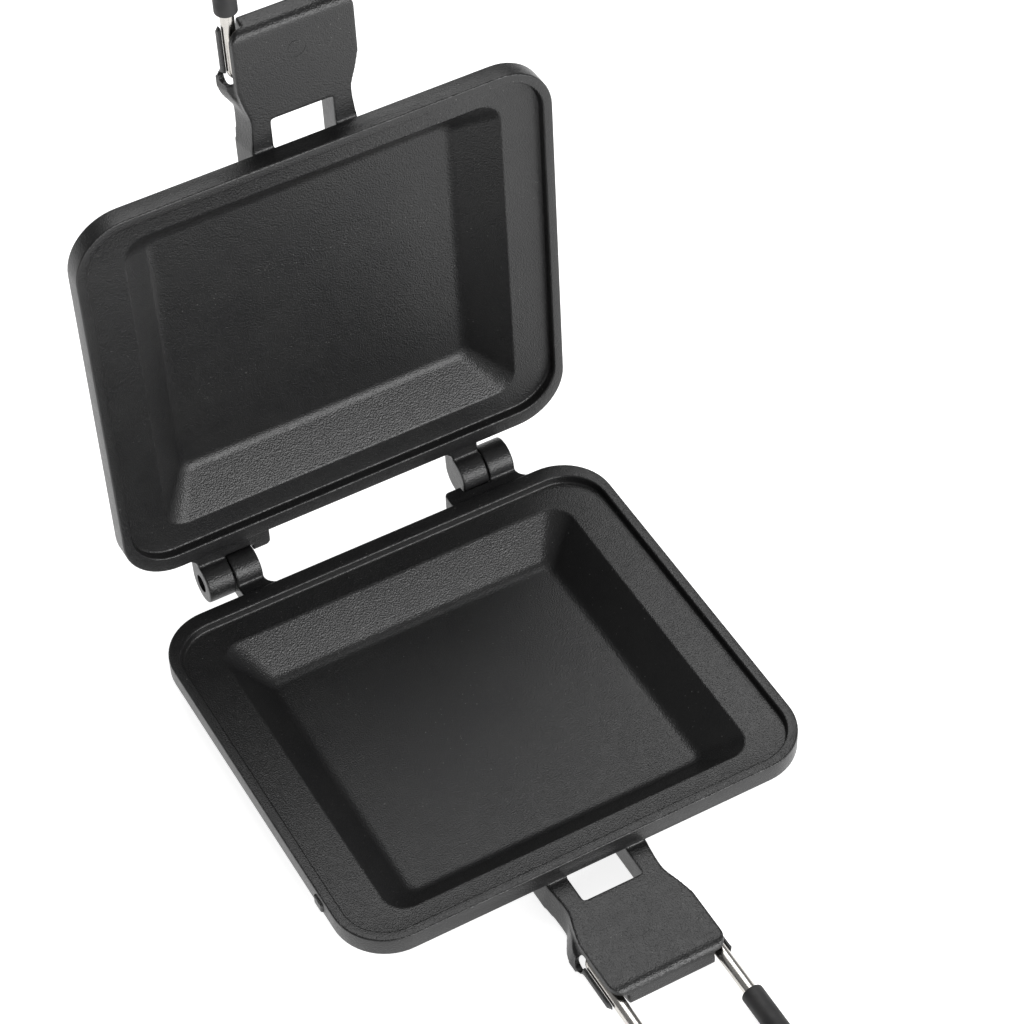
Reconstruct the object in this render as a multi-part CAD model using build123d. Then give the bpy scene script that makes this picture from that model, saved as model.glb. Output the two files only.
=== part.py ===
from build123d import *
import os
from math import cos, radians, sin, sqrt

# A hinged omelette pan: two identical castings, each with a folding handle of bent wire.
# Each casting is drawn closed, with z = 0 on the hinge axis where the two lips meet, x along the
# hinge and the handle towards -y. The finished part stands on the lower pan's underside, z = 0.

# Outline of one casting
pan_width = 148.0
pan_depth = 135.5
pan_corner_radius = 16.5
flange_height = 6.4
flange_edge_chamfer = 0.7
parting_gap = 0.2

# Raised lip and the flat rim inside it
lip_height = 3.0
lip_width = 3.2
hinge_lip_width = 5.3
rim_width_side = 12.3
rim_width_handle = 7.3
rim_width_hinge = 8.4

# Sloping bowl
cavity_depth = 11.0
slope_run = 11.0
wall = 3.0
mouth_corner_radius = 7.0
floor_corner_radius = 3.5
floor_fillet = 5.0
underside_chamfer = 1.2

# Hinge
hinge_offset = 10.15
knuckle_radius = 6.3
knuckle_length = 8.7
knuckle_middle = 43.25
knuckle_gap = 0.3
hinge_relief = 0.4
pin_radius = 2.2
pin_recess = 1.0
blind_end_wall = 2.0
arm_fillet = 4.0
ear_depth = 6.0
ear_top_drop = 1.4
ear_overrun = 4.2

# Handle bracket
bracket_height = 9.0
plate_thickness = 2.6
bracket_root = 16.0
neck_half_width = 15.3
neck_end = 11.0
neck_flare = 0.8
neck_draft = 1.3
shoulder_half_width = 18.1
shoulder_start = 22.0
plate_end = 41.3
plate_corner_radius = 3.3
window_half_width = 9.5
window_length = 9.5
window_corner_radius = 0.8
spine_wall = 4.0
pocket_start = 13.0
pocket_end = 33.0
pocket_corner_radius = 2.0
nose_start = 34.5
nose_height = 4.9
rail_width = 1.6
rail_height = 2.5
rail_bulge = 5.0
rail_end = 39.2
mark_radius = 3.0
mark_place = 30.3
mark_depth = 0.25

# Handle wire and its sleeves
wire_radius = 2.0
wire_spread = 16.3
wire_bend_radius = 3.0
wire_drop = 12.0
pivot_place = 24.3
handle_reach = 217.3
wire_tip_stand = 1.5
grip_wall = 1.25
lower_grip_start = 55.8
upper_grip_start = 43.8
grip_end_margin = 3.0

# Clearances
running_clearance = 0.05
sleeve_clearance = 0.04
slot_clearance = 0.3

# Motion
open_angle = 91.5
fold_angle = 130.0

# Small stub left on the left edge by the casting gate
gate_length = 5.0
gate_stand = 0.7
gate_height = 1.8
gate_place = 42.5

# Levels and edges that follow from the sizes above
lip_top = -parting_gap / 2
rim_level = lip_top - lip_height
flange_bottom = lip_top - flange_height
floor_level = rim_level - cavity_depth
underside = floor_level - wall
axis_height = -underside
back_edge = pan_depth / 2
front_edge = -pan_depth / 2
hinge_y = back_edge + hinge_offset
pivot_y = front_edge - pivot_place
spine_half_width = window_half_width + spine_wall
slot_outer = wire_spread + wire_radius + slot_clearance


def rounded_sheet(half_width, front, back, radius, level):
    """A rounded rectangle at a level, given by its half width and its front and back edges."""
    middle = Pos(0, (front + back) / 2, level)
    return middle * RectangleRounded(2 * half_width, back - front, radius)


def ring_of_sizes(inset_side, inset_front, inset_back):
    """Half width, front edge and back edge of the casting's outline drawn in by three insets."""
    return pan_width / 2 - inset_side, front_edge + inset_front, back_edge - inset_back


def side_block(outline, half_lengths):
    """Extrude an outline drawn in the YZ plane between two places along the hinge."""
    near, far = half_lengths
    return Pos(near, 0, 0) * extrude(outline, far - near, dir=(1, 0, 0))


def yz_polygon(points):
    """A face in the YZ plane through corners given as (y, z)."""
    return make_face(Polyline(*[(0, y, z) for y, z in points], close=True))


def flange():
    """The flat border of the pan with its edges broken all round."""
    sheet = rounded_sheet(*ring_of_sizes(0, 0, 0), pan_corner_radius, lip_top)
    body = extrude(sheet, -flange_height)
    rims = body.faces().sort_by(Axis.Z)
    return chamfer(rims[0].edges() + rims[-1].edges(), flange_edge_chamfer)


def bowl(grow, mouth_level, bottom_level):
    """The sloping bowl as a solid, grown outwards from the cavity, between two levels."""
    side, front, back = ring_of_sizes(
        lip_width + rim_width_side, lip_width + rim_width_handle, hinge_lip_width + rim_width_hinge
    )
    slope = slope_run / cavity_depth
    rings = []
    for level, radius in ((mouth_level, mouth_corner_radius), (bottom_level, floor_corner_radius)):
        inset = (rim_level - level) * slope - grow
        rings.append(rounded_sheet(side - inset, front + inset, back - inset, radius + grow, level))
    return loft(rings, ruled=True)


def cavity():
    """The space cut from the casting: the recess inside the lip and the bowl below it."""
    recess_radius = pan_corner_radius - lip_width
    recess = rounded_sheet(*ring_of_sizes(lip_width, lip_width, hinge_lip_width), recess_radius, rim_level)
    space = bowl(0, rim_level, floor_level)
    space = fillet(space.faces().sort_by(Axis.Z)[0].edges(), floor_fillet)
    return space + extrude(recess, lip_height + parting_gap)


def bowl_outside():
    """The bowl's outer form, parallel to the cavity, with its underside's edge broken."""
    body = bowl(wall * sqrt(2), flange_bottom, underside)
    return chamfer(body.faces().sort_by(Axis.Z)[0].edges(), underside_chamfer)


def knuckle(near, far):
    """A round hinge eye with the arm that carries it from the flange's back edge."""
    arm = yz_polygon([
        (back_edge - wall, lip_top - hinge_relief),
        (hinge_y, lip_top - hinge_relief),
        (hinge_y, -knuckle_radius),
        (back_edge - wall, flange_bottom),
    ])
    eye = Pos((near + far) / 2, hinge_y, 0) * Rot(0, 90, 0) * Cylinder(knuckle_radius, far - near)
    return side_block(arm, (near, far)) + eye


def hinge_bore(near, far):
    """The hole for a hinge pin between two places along the hinge."""
    place = Pos((near + far) / 2, hinge_y, 0) * Rot(0, 90, 0)
    return place * Cylinder(pin_radius + running_clearance, far - near)


def knuckle_ends():
    """Ends of the outer and the inner knuckle, measured from the middle of the pan."""
    outer = (knuckle_middle + knuckle_gap / 2, knuckle_middle + knuckle_gap / 2 + knuckle_length)
    inner = (knuckle_middle - knuckle_gap / 2 - knuckle_length, knuckle_middle - knuckle_gap / 2)
    return outer, inner


def hinge_parts():
    """Outer knuckle and ear on the right, inner knuckle on the left, with their bores to cut."""
    outer, inner = knuckle_ends()
    ear_sheet = yz_polygon([
        (back_edge - wall, lip_top - ear_top_drop),
        (back_edge + ear_depth, lip_top - ear_top_drop),
        (back_edge + ear_depth, flange_bottom),
        (back_edge - wall, flange_bottom),
    ])
    ear = side_block(ear_sheet, (inner[0] - ear_overrun, outer[0]))
    ear_relief = Pos(inner[0], hinge_y, 0) * Rot(0, 90, 0) * Cylinder(
        knuckle_radius + hinge_relief, 2 * (outer[0] - inner[0])
    )
    ear_relief &= Pos((inner[0] + outer[0]) / 2, hinge_y, 0) * Box(
        outer[0] - inner[0] + 2 * ear_overrun, 4 * knuckle_radius, 4 * knuckle_radius
    )
    right = knuckle(*outer) + (ear - ear_relief) + arm_corner(outer[1])
    left = knuckle(-inner[1], -inner[0]) + arm_corner(-inner[0])
    bores = hinge_bore(*outer) + hinge_bore(-inner[1] - knuckle_gap, -inner[0] - blind_end_wall)
    return right + left, bores


def arm_corner(place):
    """A concave corner that spreads a hinge arm onto the flange's back edge."""
    corner = (place, back_edge)
    beside = (place + arm_fillet, back_edge)
    behind = (place, back_edge + arm_fillet)
    outline = make_face(Line(corner, beside) + RadiusArc(beside, behind, arm_fillet) + Line(behind, corner))
    height = flange_height - hinge_relief
    return Pos(0, 0, flange_bottom) * extrude(outline, height, dir=(0, 0, 1))


def bracket_outline(grow=0.0):
    """Plan of the bracket's top plate, as a face at level 0, with its neck grown sideways."""
    root_y = front_edge + bracket_root
    neck = neck_half_width + grow
    shoulder = shoulder_half_width
    end_y = front_edge - plate_end
    corner = plate_corner_radius
    right = (
        Line((0, root_y), (neck + neck_flare, root_y))
        + Line((neck + neck_flare, root_y), (neck + neck_flare, front_edge))
        + Spline(
            (neck + neck_flare, front_edge),
            (neck, front_edge - neck_end / 2),
            (neck, front_edge - neck_end),
            (shoulder, front_edge - shoulder_start),
            tangents=[(-0.4, -1), (0, -1)],
        )
        + Line((shoulder, front_edge - shoulder_start), (shoulder, end_y + corner))
        + RadiusArc((shoulder, end_y + corner), (shoulder - corner, end_y), corner)
        + Line((shoulder - corner, end_y), (0, end_y))
    )
    return make_face(right + mirror(right, about=Plane.YZ))


def swing_space():
    """The space beside the spine that a wire leg sweeps while the handle folds."""
    reach = wire_radius + slot_clearance
    turn = radians(fold_angle)
    along = (-cos(turn), -sin(turn))
    across = (sin(turn), -cos(turn))
    depth = bracket_height + wire_drop
    stop = (pivot_y + reach * across[0], -wire_drop + reach * across[1])
    profile = yz_polygon([
        (front_edge - plate_end - wall, flange_bottom - plate_thickness),
        (pivot_y, flange_bottom - plate_thickness),
        (pivot_y + reach, -wire_drop + reach * across[1]),
        stop,
        (stop[0] + depth * along[0], stop[1] + depth * along[1]),
        (front_edge - plate_end - wall, stop[1] + depth * along[1]),
    ])
    right = side_block(profile, (spine_half_width, slot_outer))
    return right + mirror(right, about=Plane.YZ)


def rail():
    """The low strip outside the right wire leg, growing out of the side of the neck."""
    top = flange_bottom - plate_thickness
    bottom = flange_bottom - bracket_height
    start = front_edge - neck_end
    tip = front_edge - rail_end
    outer = slot_outer + rail_width
    bulge_y = pivot_y + rail_bulge
    outline = make_face(
        Polyline(
            (spine_half_width, start),
            (neck_half_width, start),
            (outer, bulge_y),
            (outer, tip + rail_width),
            (slot_outer, tip),
            (spine_half_width, tip),
            close=True,
        )
    )
    profile = yz_polygon([
        (start, bottom),
        (start, top),
        (bulge_y - rail_height, top),
        (pivot_y - rail_height, bottom + rail_height),
        (tip, bottom + rail_height),
        (tip, bottom),
    ])
    strip = Pos(0, 0, bottom) * extrude(outline, top - bottom, dir=(0, 0, 1))
    return strip & side_block(profile, (0, 2 * outer))


def bracket():
    """The cast tongue that carries the handle, with its spine and the strips beside the wire."""
    bottom = flange_bottom - bracket_height
    plate = Pos(0, 0, flange_bottom) * extrude(bracket_outline(), -plate_thickness)
    rings = [Pos(0, 0, flange_bottom) * bracket_outline(), Pos(0, 0, bottom) * bracket_outline(neck_draft)]
    side = yz_polygon([
        (front_edge + bracket_root, flange_bottom),
        (front_edge + bracket_root, bottom),
        (front_edge - nose_start, bottom),
        (front_edge - plate_end, flange_bottom - nose_height),
        (front_edge - plate_end, flange_bottom),
    ])
    right_rail = rail()
    block = loft(rings, ruled=True) & side_block(side, (-shoulder_half_width, shoulder_half_width))
    block += right_rail + mirror(right_rail, about=Plane.YZ)
    throat_length = bracket_root + window_length / 2
    throat = Pos(0, front_edge + bracket_root - throat_length / 2, bottom) * Box(
        2 * window_half_width, throat_length, 2 * bracket_height
    )
    return plate + (block - swing_space()) - throat


def bracket_cuts():
    """Window, underside pocket, wire bores and the round mark left by the ejector."""
    bottom = flange_bottom - bracket_height
    window = extrude(
        Pos(0, front_edge - window_length / 2, bottom - wall)
        * RectangleRounded(2 * window_half_width, window_length, window_corner_radius),
        2 * bracket_height, dir=(0, 0, 1),
    )
    pocket_length = pocket_end - pocket_start
    pocket_height = bracket_height - plate_thickness
    pocket = extrude(
        Pos(0, front_edge - pocket_start - pocket_length / 2, bottom)
        * RectangleRounded(2 * window_half_width, pocket_length, pocket_corner_radius),
        pocket_height, dir=(0, 0, 1),
    )
    pivot_line = Pos(0, pivot_y, -wire_drop) * Rot(0, 90, 0)
    bore = pivot_line * Cylinder(wire_radius + running_clearance, 2 * slot_outer)
    ring = Pos(0, front_edge - mark_place, flange_bottom) * Cylinder(mark_radius, 2 * mark_depth)
    return window, pocket, bore, ring


def casting():
    """One half of the pan, drawn as the lower half with the handle towards -y."""
    gate = Pos(-pan_width / 2, -gate_place, flange_bottom + gate_height) * Box(
        2 * gate_stand, gate_length, 2 * gate_height
    )
    body = flange() + bowl_outside() + bracket() + gate
    for cut in bracket_cuts():
        body -= cut
    hinge, bores = hinge_parts()
    body += hinge
    body -= bores
    body -= cavity()
    return body


def wire():
    """The bent handle wire: a long U whose ends turn inward into the bracket."""
    end_y = front_edge - handle_reach + wire_radius
    tip = window_half_width - wire_tip_stand
    bend = wire_bend_radius
    leg_start = pivot_y - bend
    leg_end = end_y + wire_spread
    path = (
        Line((tip, pivot_y), (wire_spread - bend, pivot_y))
        + RadiusArc((wire_spread - bend, pivot_y), (wire_spread, leg_start), bend)
        + Line((wire_spread, leg_start), (wire_spread, leg_end))
        + RadiusArc((wire_spread, leg_end), (-wire_spread, leg_end), wire_spread)
        + Line((-wire_spread, leg_end), (-wire_spread, leg_start))
        + RadiusArc((-wire_spread, leg_start), (bend - wire_spread, pivot_y), bend)
        + Line((bend - wire_spread, pivot_y), (-tip, pivot_y))
    )
    section = Plane((tip, pivot_y, 0), x_dir=(0, 1, 0), z_dir=(1, 0, 0)) * Circle(wire_radius)
    return Pos(0, 0, -wire_drop) * sweep(section, path=path)


def grip(start, side):
    """A sleeve on one wire leg, starting at a distance from the pan's front edge."""
    end = handle_reach - wire_radius - wire_spread - grip_end_margin
    length = end - start
    bore_radius = wire_radius + sleeve_clearance
    tube = Cylinder(bore_radius + grip_wall, length) - Cylinder(bore_radius, length)
    place = Pos(side * wire_spread, front_edge - (start + end) / 2, -wire_drop)
    return place * Rot(90, 0, 0) * tube


def hinge_pin():
    """The pin on the right, from the inner knuckle's blind end to just inside the outer end."""
    outer, inner = knuckle_ends()
    near = inner[0] + blind_end_wall + running_clearance
    far = outer[1] - pin_recess
    return Pos((near + far) / 2, hinge_y, 0) * Rot(0, 90, 0) * Cylinder(pin_radius, far - near)


def placed(shape, turned):
    """Stand a closed-frame shape in the part's frame, turned over and opened if it is the lid's."""
    if turned:
        hinge_line = Pos(0, hinge_y, 0)
        shape = hinge_line * Rot(-open_angle, 0, 0) * Pos(0, -hinge_y, 0) * Rot(0, 180, 0) * shape
    return Pos(0, 0, axis_height) * shape


def main():
    """Build every piece and write one STEP file for each."""
    os.makedirs("parts", exist_ok=True)
    half = casting()
    handle = wire()
    pin = hinge_pin()
    pieces = {
        "lower_pan": placed(half, False),
        "upper_pan": placed(half, True),
        "right_hinge_pin": placed(pin, False),
        "left_hinge_pin": placed(pin, True),
        "lower_handle_wire": placed(handle, False),
        "upper_handle_wire": placed(handle, True),
        "lower_left_grip": placed(grip(lower_grip_start, -1), False),
        "lower_right_grip": placed(grip(lower_grip_start, 1), False),
        "upper_left_grip": placed(grip(upper_grip_start, 1), True),
        "upper_right_grip": placed(grip(upper_grip_start, -1), True),
    }
    for name, piece in pieces.items():
        export_step(piece, f"parts/{name}.step")
        print(name, round(piece.volume), "cubic mm")


main()
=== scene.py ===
"""A hinged omelette pan standing open: two coated castings, bent wire handles, black sleeves."""

import logging
import math
from dataclasses import dataclass, field
from enum import Enum
from typing import Callable, Iterable, Sequence

import bmesh
import bpy
from mathutils import Matrix, Vector


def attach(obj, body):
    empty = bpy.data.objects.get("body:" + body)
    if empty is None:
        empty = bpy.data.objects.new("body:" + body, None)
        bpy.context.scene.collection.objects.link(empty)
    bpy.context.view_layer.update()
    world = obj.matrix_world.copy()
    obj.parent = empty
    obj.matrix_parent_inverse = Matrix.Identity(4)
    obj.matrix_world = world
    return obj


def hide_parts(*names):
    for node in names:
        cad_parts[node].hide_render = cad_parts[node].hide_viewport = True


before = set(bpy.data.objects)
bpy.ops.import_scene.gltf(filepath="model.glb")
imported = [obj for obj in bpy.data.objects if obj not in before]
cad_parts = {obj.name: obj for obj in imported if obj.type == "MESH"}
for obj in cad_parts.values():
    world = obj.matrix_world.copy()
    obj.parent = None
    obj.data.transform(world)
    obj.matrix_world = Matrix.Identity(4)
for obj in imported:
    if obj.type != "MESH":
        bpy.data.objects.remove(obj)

log = logging.getLogger("omelette_pan")

# One millimetre in metres, and how far in millimetres a solid reaches past or into what it cuts or joins
MM = 0.001
PAST = 1.0

Point2 = tuple[float, float]
Point3 = tuple[float, float, float]
Colour = tuple[float, float, float]


class Half(Enum):
    """Which of the two castings a piece belongs to."""

    LOWER = "lower"
    UPPER = "upper"

    @property
    def casting_body(self) -> str:
        """The moving body that this half's casting and pin belong to."""
        return "base" if self is Half.LOWER else "lid"

    @property
    def handle_body(self) -> str:
        """The moving body that this half's wire and sleeves belong to."""
        return f"{self.value}_handle"


class Merge(Enum):
    """How two solids become one."""

    ADD = "UNION"
    CUT = "DIFFERENCE"
    COMMON = "INTERSECT"


class Slot(Enum):
    """The finishes that the part's record names."""

    CASTING = "coated_casting"
    PIN = "hinge_steel"
    WIRE = "stainless_wire"
    SLEEVE = "grip_sleeve"


@dataclass(frozen=True)
class Finishes:
    """The materials, each made once and shared by both halves."""

    coating: bpy.types.Material
    wire: bpy.types.Material
    pin: bpy.types.Material
    sleeve: bpy.types.Material


@dataclass(frozen=True)
class CastingSizes:
    """Sizes of one casting and its wire's seat, in millimetres.

    The casting is drawn closed, with level 0 on the hinge axis and the handle towards -y.
    """

    width: float = 148.0
    depth: float = 135.5
    corner_radius: float = 16.5
    flange_height: float = 6.4
    parting_gap: float = 0.2
    outer_edge: float = 0.5
    lip_height: float = 3.0
    lip_width: float = 3.2
    hinge_lip_width: float = 5.3
    lip_edge: float = 0.55
    lip_foot: float = 0.6
    rim_side: float = 12.3
    rim_handle: float = 7.3
    rim_hinge: float = 8.4
    mouth_edge: float = 1.3
    cavity_depth: float = 11.0
    wall: float = 3.0
    mouth_corner: float = 7.0
    floor_corner: float = 3.5
    floor_fillet: float = 5.0
    underside_edge: float = 2.5
    root_fillet: float = 1.5
    hinge_offset: float = 10.15
    open_angle: float = 91.5
    wire_radius: float = 2.0
    wire_spread: float = 16.45
    wire_drop: float = 12.0
    pivot_place: float = 24.3

    @property
    def lip_top(self) -> float:
        """Level of the lip's top."""
        return -self.parting_gap / 2

    @property
    def rim_level(self) -> float:
        """Level of the flat rim inside the lip."""
        return self.lip_top - self.lip_height

    @property
    def flange_bottom(self) -> float:
        """Level of the flange's underside."""
        return self.lip_top - self.flange_height

    @property
    def floor_level(self) -> float:
        """Level of the cavity's floor."""
        return self.rim_level - self.cavity_depth

    @property
    def underside(self) -> float:
        """Level of the face that the lower pan rests on."""
        return self.floor_level - self.wall

    @property
    def front(self) -> float:
        """Place of the handle-side edge."""
        return -self.depth / 2

    @property
    def back(self) -> float:
        """Place of the hinge-side edge."""
        return self.depth / 2

    @property
    def hinge_y(self) -> float:
        """Place of the hinge axis."""
        return self.back + self.hinge_offset

    @property
    def pivot_y(self) -> float:
        """Place of the wire's turned-in ends, which the handle folds about."""
        return self.front - self.pivot_place

    def seat(self, half: Half) -> Matrix:
        """The move that stands a closed-frame piece in the part's frame.

        Args:
            half: the casting that the piece belongs to.

        Returns:
            A matrix from millimetres in the closed frame to metres in the part's frame.
        """
        stand = Matrix.Scale(MM, 4) @ Matrix.Translation((0, 0, -self.underside))
        if half is Half.LOWER:
            return stand
        hinge = Matrix.Translation((0, self.hinge_y, 0))
        swing = Matrix.Rotation(math.radians(-self.open_angle), 4, "X")
        turn_over = Matrix.Rotation(math.pi, 4, "Y")
        return stand @ hinge @ swing @ hinge.inverted() @ turn_over


class Workshop:
    """Small mesh operations shared by the pieces."""

    # In millimetres: corners this close become one, and edges this short are closed
    WELD = 0.002
    SLIVER = 0.001

    @staticmethod
    def arc(centre: Point2, radius: float, start: float, end: float, steps: int) -> list[Point2]:
        """Points along an arc.

        Args:
            centre: the arc's centre.
            radius: its radius.
            start: first angle in degrees.
            end: last angle in degrees.
            steps: number of spans.

        Returns:
            The points from start to end.
        """
        angles = [math.radians(start + (end - start) * i / steps) for i in range(steps + 1)]
        return [(centre[0] + radius * math.cos(a), centre[1] + radius * math.sin(a)) for a in angles]

    @staticmethod
    def circle(centre: Point2, radius: float, steps: int = 48) -> list[Point2]:
        """Points round a circle, without repeating the first."""
        return Workshop.arc(centre, radius, 0, 360 - 360 / steps, steps - 1)

    @staticmethod
    def rounded_rectangle(
        half: float, front: float, back: float, radius: float, steps: int
    ) -> list[Point2]:
        """Corners of a rounded rectangle, counter-clockwise seen from above.

        Args:
            half: half its width.
            front: its lowest y.
            back: its highest y.
            radius: corner radius.
            steps: spans in each corner.

        Returns:
            The outline's points.
        """
        corners = [
            (half - radius, front + radius, 270),
            (half - radius, back - radius, 0),
            (radius - half, back - radius, 90),
            (radius - half, front + radius, 180),
        ]
        points: list[Point2] = []
        for x, y, angle in corners:
            points += Workshop.arc((x, y), radius, angle, angle + 90, steps)
        return points

    @staticmethod
    def loft(rings: Sequence[Sequence[Point3]], name: str, capped: bool = True) -> bpy.types.Object:
        """Skin closed rings of equal length into a closed solid.

        Args:
            rings: the rings, in order.
            name: name of the new object.
            capped: close both ends with a face, or else join the last ring to the first.

        Returns:
            The closed solid as a linked object.
        """
        work = bmesh.new()
        rows = [[work.verts.new(point) for point in ring] for ring in rings]
        count = len(rows[0])
        following = rows[1:] if capped else rows[1:] + rows[:1]
        for low, high in zip(rows, following):
            for i in range(count):
                work.faces.new((low[i], low[(i + 1) % count], high[(i + 1) % count], high[i]))
        if capped:
            work.faces.new(rows[0])
            work.faces.new(rows[-1])
        bmesh.ops.recalc_face_normals(work, faces=work.faces)
        return Workshop.keep(work, name)

    @staticmethod
    def rounded_box(
        across: Point2, along: Point2, levels: Point2, radius: float = 0.8, steps: int = 4
    ) -> bpy.types.Object:
        """A block with rounded upright edges.

        Args:
            across: its two x places.
            along: its two y places.
            levels: its two z levels.
            radius: radius of the upright edges.
            steps: spans in each rounded edge.

        Returns:
            The block.
        """
        half = (across[1] - across[0]) / 2
        middle = (across[0] + across[1]) / 2
        plan = Workshop.rounded_rectangle(half, along[0], along[1], radius, steps)
        return Workshop.prism([(x + middle, y) for x, y in plan], *levels)

    @staticmethod
    def through(points: Sequence[Point2], steps: int = 6) -> list[Point2]:
        """A smooth curve through plan points.

        Args:
            points: the points that the curve passes.
            steps: spans between two of them.

        Returns:
            Points along the curve, with both ends.
        """
        padded = [points[0], *points, points[-1]]
        curve: list[Point2] = [points[0]]
        for before, start, end, after in zip(padded, padded[1:], padded[2:], padded[3:]):
            for i in range(1, steps + 1):
                t = i / steps
                weights = (
                    (-t + 2 * t**2 - t**3) / 2,
                    (2 - 5 * t**2 + 3 * t**3) / 2,
                    (t + 4 * t**2 - 3 * t**3) / 2,
                    (t**3 - t**2) / 2,
                )
                pulls = list(zip(weights, (before, start, end, after)))
                curve.append(tuple(sum(weight * point[axis] for weight, point in pulls) for axis in (0, 1)))
        return curve

    @staticmethod
    def finished(piece: bpy.types.Object, seat: Matrix, sharp: float) -> bpy.types.Object:
        """Stand a piece in the part's frame and shade it smooth up to an edge angle.

        Args:
            piece: the piece, in millimetres in the closed frame.
            seat: its move into the part's frame.
            sharp: edges sharper than this many degrees stay crisp.

        Returns:
            The same piece.
        """
        work = bmesh.new()
        work.from_mesh(piece.data)
        bmesh.ops.remove_doubles(work, verts=work.verts, dist=Workshop.WELD)
        bmesh.ops.dissolve_degenerate(work, edges=work.edges, dist=Workshop.SLIVER)
        work.to_mesh(piece.data)
        work.free()
        mesh = piece.data
        mesh.transform(seat)
        mesh.shade_smooth()
        mesh.set_sharp_from_angle(angle=math.radians(sharp))
        mesh.update()
        return piece

    @staticmethod
    def keep(work: bmesh.types.BMesh, name: str) -> bpy.types.Object:
        """Turn a mesh in the making into a linked object.

        Args:
            work: the mesh in the making, which is freed.
            name: name of the new object.

        Returns:
            The object.
        """
        mesh = bpy.data.meshes.new(name)
        work.to_mesh(mesh)
        work.free()
        return Workshop.link(mesh, name)

    @staticmethod
    def link(mesh: bpy.types.Mesh, name: str) -> bpy.types.Object:
        """Link a mesh to the scene as an object at the origin.

        Args:
            mesh: the mesh.
            name: name of the new object.

        Returns:
            The object.
        """
        piece = bpy.data.objects.new(name, mesh)
        bpy.context.scene.collection.objects.link(piece)
        return piece

    @staticmethod
    def prism(
        outline: Sequence[Point2], low: float, high: float, top: Sequence[Point2] | None = None
    ) -> bpy.types.Object:
        """A prism on a plan outline between two levels.

        Args:
            outline: the plan at the low level.
            low: low level.
            high: high level.
            top: the plan at the high level, where it differs.

        Returns:
            The prism.
        """
        upper = top or outline
        rings = [[(x, y, low) for x, y in outline], [(x, y, high) for x, y in upper]]
        return Workshop.loft(rings, "prism")

    @staticmethod
    def side_prism(outline: Sequence[Point2], near: float, far: float) -> bpy.types.Object:
        """A prism on a (y, z) outline between two places along the hinge."""
        rings = [[(place, y, z) for y, z in outline] for place in (near, far)]
        return Workshop.loft(rings, "side_prism")

    @staticmethod
    def rod(
        y: float, z: float, radius: float, near: float, far: float, steps: int = 48
    ) -> bpy.types.Object:
        """A round rod along the hinge direction, about the line at (y, z)."""
        return Workshop.side_prism(Workshop.circle((y, z), radius, steps), near, far)

    @staticmethod
    def join(pieces: Sequence[bpy.types.Object]) -> bpy.types.Object:
        """Put several meshes into the first one, and delete the rest.

        Args:
            pieces: the objects, which may overlap.

        Returns:
            The first object, now with all the meshes.
        """
        work = bmesh.new()
        for piece in pieces:
            work.from_mesh(piece.data)
        work.to_mesh(pieces[0].data)
        work.free()
        for piece in pieces[1:]:
            Workshop.discard(piece)
        return pieces[0]

    @staticmethod
    def mirrored(piece: bpy.types.Object) -> bpy.types.Object:
        """A copy of a piece on the other side of the middle plane.

        Args:
            piece: the object to copy.

        Returns:
            The mirrored copy, with its faces still pointing outwards.
        """
        mesh = piece.data.copy()
        mesh.transform(Matrix.Scale(-1, 4, (1, 0, 0)))
        mesh.flip_normals()
        return Workshop.link(mesh, piece.name + "_mirrored")

    @staticmethod
    def discard(piece: bpy.types.Object) -> None:
        """Remove an object and its mesh.

        Args:
            piece: the object that is no longer needed.
        """
        mesh = piece.data
        bpy.data.objects.remove(piece)
        if mesh.users == 0:
            bpy.data.meshes.remove(mesh)

    @staticmethod
    def combine(piece: bpy.types.Object, other: bpy.types.Object, how: Merge) -> bpy.types.Object:
        """Make two solids one, kept in the first object, and delete the second.

        Args:
            piece: the solid that is kept.
            other: the solid that is added, cut away or intersected.
            how: which of these it is.

        Returns:
            The first object with its new mesh.
        """
        step = piece.modifiers.new("combine", "BOOLEAN")
        step.operation = how.value
        step.solver = "MANIFOLD"
        step.object = other
        Workshop.settle(piece)
        Workshop.discard(other)
        return piece

    @staticmethod
    def settle(piece: bpy.types.Object) -> bpy.types.Object:
        """Turn a piece with modifiers into a plain mesh.

        Args:
            piece: the object with its modifiers.

        Returns:
            The same object, without modifiers.
        """
        bpy.context.view_layer.update()
        evaluated = piece.evaluated_get(bpy.context.evaluated_depsgraph_get())
        mesh = bpy.data.meshes.new_from_object(evaluated)
        old = piece.data
        piece.modifiers.clear()
        piece.data = mesh
        if old.users == 0:
            bpy.data.meshes.remove(old)
        return piece

    @staticmethod
    def soften(piece: bpy.types.Object, voxel: float, passes: int) -> bpy.types.Object:
        """Round a solid's edges as a casting's are, by remeshing it finely and smoothing it.

        Args:
            piece: a closed solid, in millimetres.
            voxel: size of the new faces.
            passes: smoothing passes.

        Returns:
            The softened solid.
        """
        remesh = piece.modifiers.new("remesh", "REMESH")
        remesh.mode = "VOXEL"
        remesh.voxel_size = voxel
        smooth = piece.modifiers.new("smooth", "SMOOTH")
        smooth.iterations = passes
        smooth.factor = 0.5
        return Workshop.settle(piece)

    @staticmethod
    def dress(
        piece: bpy.types.Object, finish: bpy.types.Material, body: str, slot: Slot, node: str
    ) -> bpy.types.Object:
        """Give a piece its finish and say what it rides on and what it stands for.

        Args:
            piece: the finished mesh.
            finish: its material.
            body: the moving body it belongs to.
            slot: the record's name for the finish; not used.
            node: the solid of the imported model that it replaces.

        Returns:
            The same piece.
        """
        piece.data.materials.clear()
        piece.data.materials.append(finish)
        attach(piece, body)
        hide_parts(node)
        return piece


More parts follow.
